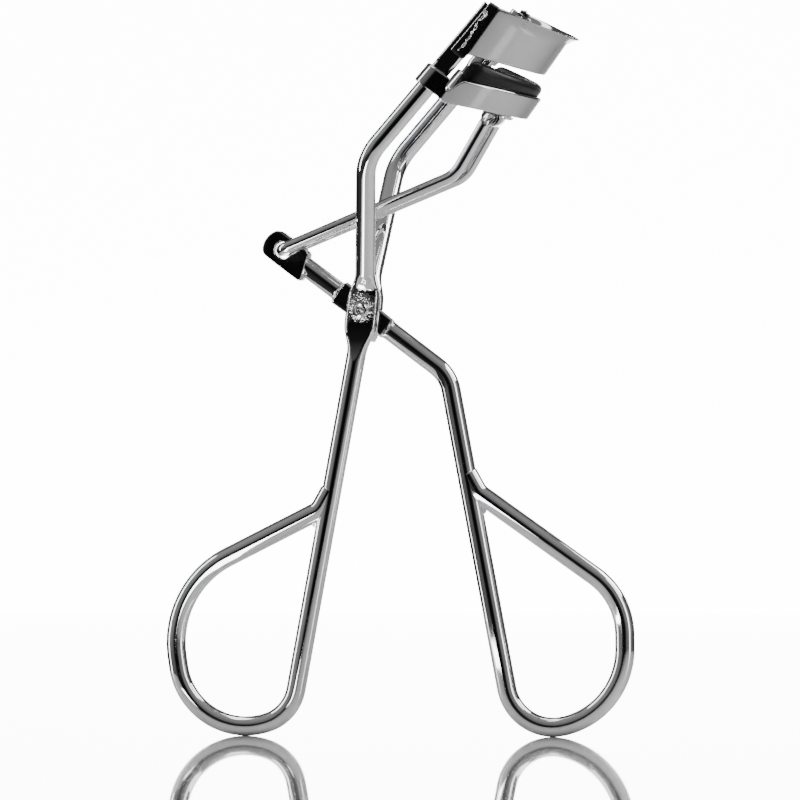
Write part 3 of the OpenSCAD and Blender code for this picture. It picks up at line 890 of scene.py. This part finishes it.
class CURLER_OT_link(bpy.types.Operator):
    """Builds the U-shaped link with its lug and the lug's rivets"""

    bl_idname = "curler.link"
    bl_label = "Link and lug"

    def execute(self, context):
        size = sizes()
        foot = -ARM_DIR * CRANK
        # One half of the wire: its end in the tip block, the leg's foot, knee and top
        half = [[foot[0], 0.6, foot[2]], [foot[0], 3.32, foot[2]], [14.4, 4.55, 18.9],
                [LUG_AT[0], 4.55, LUG_AT[1]]]
        corners = [[x, -y, z] for x, y, z in half] + half[::-1]
        bends = [0, 1.2, 4.5, 1.5]
        pts = route(corners, bends + bends[::-1], 0.14)
        frames = carried_frames(pts, [0.0, 0.0, 1.0])
        r = np.full(len(pts), size["link_r"])
        rings = domed(swept(pts, frames, r, r, np.full(len(pts), 2.0), 28), frames, 0.25)
        make_object("link_wire", skin(rings), "plated_wire", "link_body", ["link"])
        self.lug(size)
        return {"FINISHED"}

    @staticmethod
    def lug(size):
        """The lug: a strip rolled round the link, its section (circle then a flat tab) in the
        (n, g) plane, carried across y with rounded ends; and two domed rivets through the tab."""
        spot = np.array([LUG_AT[0], 0.0, LUG_AT[1]])
        centre = np.array([spot @ PLATE_OUT, spot @ PLATE_UP])
        slope = math.atan(FLOOR_SLOPE)
        along = np.array([math.cos(slope), math.sin(slope)])
        up = np.array([-math.sin(slope), math.cos(slope)])
        mid_r, half, half_y = size["link_r"] + 0.3, 0.22, 2.6
        a = np.radians(np.linspace(-250, 90, 70))
        roll = centre + mid_r * (np.cos(a)[:, None] * along + np.sin(a)[:, None] * up)
        tab = roll[-1] + along * np.linspace(0.1, 2.9, 12)[:, None]
        line = resampled(np.vstack([roll, tab]), 0.1)
        t = np.gradient(line, axis=0)
        t /= np.linalg.norm(t, axis=1)[:, None]
        normal = np.stack([-t[:, 1], t[:, 0]], 1)
        corners = [(half_y, -half), (half_y, half), (-half_y, half), (-half_y, -half)]
        outline = rounded_corners(corners, 0.1, 5)
        point = line[:, None] + normal[:, None] * outline[None, :, 1:2]
        y = np.broadcast_to(outline[None, :, 0], point.shape[:2])
        make_object("lug_strip", skin(placed(point[..., 0], point[..., 1], y)), "plated_sheet",
                    "lower_jaw_carriage", ["link_lug"], 40.0)
        # Rivets: section as (r, height) from the domed head up into the tab
        profile = [(0.3, -1.08), (0.6, -0.98), (0.8, -0.8), (0.84, -0.62), (0.5, -0.55), (0.5, 0.3)]
        v, f = revolved(profile, 32)
        n, g = centre + along * 1.8 + up * (mid_r + 0.05)
        place = PLATE_OUT * n + PLATE_UP * g
        across = PLATE_OUT * along[0] + PLATE_UP * along[1]
        axis = PLATE_OUT * up[0] + PLATE_UP * up[1]
        studs = [(place + across * v[:, :1] + axis * v[:, 1:2] + Y_AXIS * (v[:, 2:] + y_at), f)
                 for y_at in (-1.6, 1.6)]
        make_object("lug_rivet_pair", joined(*studs), "plated_wire", "lower_jaw_carriage",
                    ["lug_rivets"], 40.0)


def area_light(name, place, aim, width, height, watts):
    """A rectangular light at place (mm in the model's frame), aimed at a point."""
    data = bpy.data.lights.new(name, "AREA")
    data.shape = "RECTANGLE"
    data.size, data.size_y = width * MM, height * MM
    data.energy = watts
    obj = bpy.data.objects.new(name, data)
    bpy.context.scene.collection.objects.link(obj)
    obj.location = Vector(place) * MM
    obj.rotation_euler = (Vector(aim) - Vector(place)).to_track_quat("-Z", "Y").to_euler()
    return obj


def stage_sheet(name, x, y, z, mat):
    """A flat grid of the stage, from three arrays of one shape in millimetres."""
    verts = np.stack([x, y, z], -1).reshape(-1, 3) * MM
    idx = np.arange(x.size).reshape(x.shape)
    faces = np.stack([idx[:-1, :-1], idx[:-1, 1:], idx[1:, 1:], idx[1:, :-1]], -1).reshape(-1, 4)
    mesh = bpy.data.meshes.new(name)
    mesh.from_pydata(verts.tolist(), [], faces.tolist())
    mesh.materials.append(mat)
    obj = bpy.data.objects.new(name, mesh)
    bpy.context.scene.collection.objects.link(obj)


def pale_floor(color):
    """A smooth pale floor from y = -240 to 800 mm, whose left edge follows the camera's view,
    x = -(80 + 0.06*y) - tan(VIEW_TURN)*y, and whose right edge is at x = 260 mm."""
    part, y = np.meshgrid(np.linspace(0, 1, 5), np.linspace(-240, 800, 6))
    left = -(80 + 0.06 * y) - math.tan(VIEW_TURN) * y
    x = left + part * (260 - left)
    mat, nodes, links, shader = nodes_of("pale_floor")
    place = nodes.new("ShaderNodeTexCoord").outputs["Object"]
    cloud = noise_at(nodes, links, place, 8.0)
    rough = mapped(nodes, links, cloud, (0.0, 1.0), (0.02, 0.03))
    links.new(rough.outputs["Result"], shader.inputs["Roughness"])
    shader.inputs["Base Color"].default_value = color
    stage_sheet("studio_floor", x, y, np.zeros_like(x), mat)


def lit_screen(centre, width, height, depth, strength):
    """A softly lit upright screen at y = depth, its middle at x = centre, whose light falls
    smoothly to a soft grey from x = -25 to 60 mm. It is clear from behind, so the object can
    also be looked at from the back."""
    x, z = np.meshgrid(np.linspace(centre - width / 2, centre + width / 2, 5),
                       np.linspace(0, height, 5))
    mat, nodes, links, shader = nodes_of("lit_screen")
    place = nodes.new("ShaderNodeTexCoord").outputs["Object"]
    cloud = noise_at(nodes, links, place, 3.0)
    glow = mapped(nodes, links, cloud, (0.0, 1.0), (0.98, 1.0))
    split = nodes.new("ShaderNodeSeparateXYZ")
    links.new(place, split.inputs["Vector"])
    fall = mapped(nodes, links, split.outputs["X"], (-0.025, 0.06), (strength, 0.45))
    fall.interpolation_type = "SMOOTHSTEP"
    power = nodes.new("ShaderNodeMath")
    power.operation = "MULTIPLY"
    links.new(glow.outputs["Result"], power.inputs[0])
    links.new(fall.outputs["Result"], power.inputs[1])
    links.new(power.outputs["Value"], shader.inputs["Emission Strength"])
    shader.inputs["Emission Color"].default_value = (1.0, 1.0, 1.0, 1.0)
    side = nodes.new("ShaderNodeNewGeometry")
    front = nodes.new("ShaderNodeMath")
    front.operation = "SUBTRACT"
    front.inputs[0].default_value = 1.0
    links.new(side.outputs["Backfacing"], front.inputs[1])
    links.new(front.outputs["Value"], shader.inputs["Alpha"])
    stage_sheet("studio_screen", x, np.full_like(x, depth), z, mat)


def studio_air():
    """The room's light: a grey ramp along Y, darkest behind the camera, dimmed to 0.12 of its
    strength below the floor's level."""
    world = bpy.data.worlds.new("studio_air")
    world.use_nodes = True
    nodes, links = world.node_tree.nodes, world.node_tree.links
    split = nodes.new("ShaderNodeSeparateXYZ")
    links.new(nodes.new("ShaderNodeTexCoord").outputs["Generated"], split.inputs["Vector"])
    spread = mapped(nodes, links, split.outputs["Y"], (-1.0, 1.0), (0.0, 1.0))
    ramp = nodes.new("ShaderNodeValToRGB")
    elements = ramp.color_ramp.elements
    elements[0].color = (0.004, 0.004, 0.004, 1.0)
    elements[1].color = (0.1, 0.1, 0.1, 1.0)
    for position, grey in ((0.02, 0.01), (0.06, 0.16), (0.3, 0.3), (0.5, 0.3), (0.7, 0.08)):
        element = elements.new(position)
        element.color = (grey, grey, grey, 1.0)
    links.new(spread.outputs["Result"], ramp.inputs["Fac"])
    level = mapped(nodes, links, split.outputs["Z"], (-0.25, 0.05), (0.12, 1.0))
    links.new(level.outputs["Result"], nodes["Background"].inputs["Strength"])
    links.new(ramp.outputs["Color"], nodes["Background"].inputs["Color"])
    return world


class CURLER_OT_stage(bpy.types.Operator):
    """Builds the pale floor, the soft studio light and the camera"""

    bl_idname = "curler.stage"
    bl_label = "Stage"

    def execute(self, context):
        pale_floor(tuple(colors().floor))
        lit_screen(20, 600, 175, 800, 14.0)
        aim = (0.0, 0.0, 52.0)
        # Place, aim, width and height in mm, then power in watts
        area_light("top_softbox", (-60, 40, 520), aim, 260, 260, 0.9)
        area_light("low_card", (-28, -75, 4), (-28, -75, 90), 22, 120, 0.085)
        area_light("side_pool", (190, 40, 180), (150, 30, 0), 90, 140, 0.35)
        area_light("strip_left", (-420, -60, 160), aim, 60, 500, 1.0)
        area_light("strip_right", (440, -160, 200), aim, 90, 500, 0.8)
        context.scene.world = studio_air()
        distance, view_width, sensor = 1400.0, 114.286, 36.0
        target = Vector((-0.137, 0.0, 48.02))
        back = Vector((math.sin(VIEW_TURN), -math.cos(VIEW_TURN), 0.0))
        data = bpy.data.cameras.new("camera")
        data.sensor_width = sensor
        data.lens = sensor * distance / view_width
        data.clip_start, data.clip_end = 0.05, 20.0
        cam = bpy.data.objects.new("camera", data)
        context.scene.collection.objects.link(cam)
        cam.location = (target + back * distance) * MM
        cam.rotation_euler = (-back).to_track_quat("-Z", "Y").to_euler()
        context.scene.camera = cam
        return {"FINISHED"}


OPERATORS = (
    CURLER_OT_left_handle,
    CURLER_OT_right_handle,
    CURLER_OT_far_rod,
    CURLER_OT_tip_block,
    CURLER_OT_rivet,
    CURLER_OT_upper_jaw,
    CURLER_OT_lower_jaw,
    CURLER_OT_pad,
    CURLER_OT_link,
    CURLER_OT_stage,
)


class CURLER_PT_panel(bpy.types.Panel):
    """Sizes, colours and builders of the eyelash curler"""

    bl_idname = "CURLER_PT_panel"
    bl_label = "Eyelash curler"
    bl_space_type = "VIEW_3D"
    bl_region_type = "UI"
    bl_category = "Curler"

    def draw(self, context):
        for group in (context.scene.curler_sizes, context.scene.curler_colors):
            box = self.layout.box()
            for key in type(group).__annotations__:
                box.prop(group, key)
        for op in OPERATORS:
            self.layout.operator(op.bl_idname)


CLASSES = (CurlerSizes, CurlerColors) + OPERATORS + (CURLER_PT_panel,)


def register():
    for cls in CLASSES:
        bpy.utils.register_class(cls)
    bpy.types.Scene.curler_sizes = bpy.props.PointerProperty(type=CurlerSizes)
    bpy.types.Scene.curler_colors = bpy.props.PointerProperty(type=CurlerColors)


def unregister():
    del bpy.types.Scene.curler_colors
    del bpy.types.Scene.curler_sizes
    for cls in reversed(CLASSES):
        bpy.utils.unregister_class(cls)


def main():
    register()
    for op in OPERATORS:
        getattr(bpy.ops.curler, op.bl_idname.split(".")[1])()


if __name__ == "__main__":
    main()
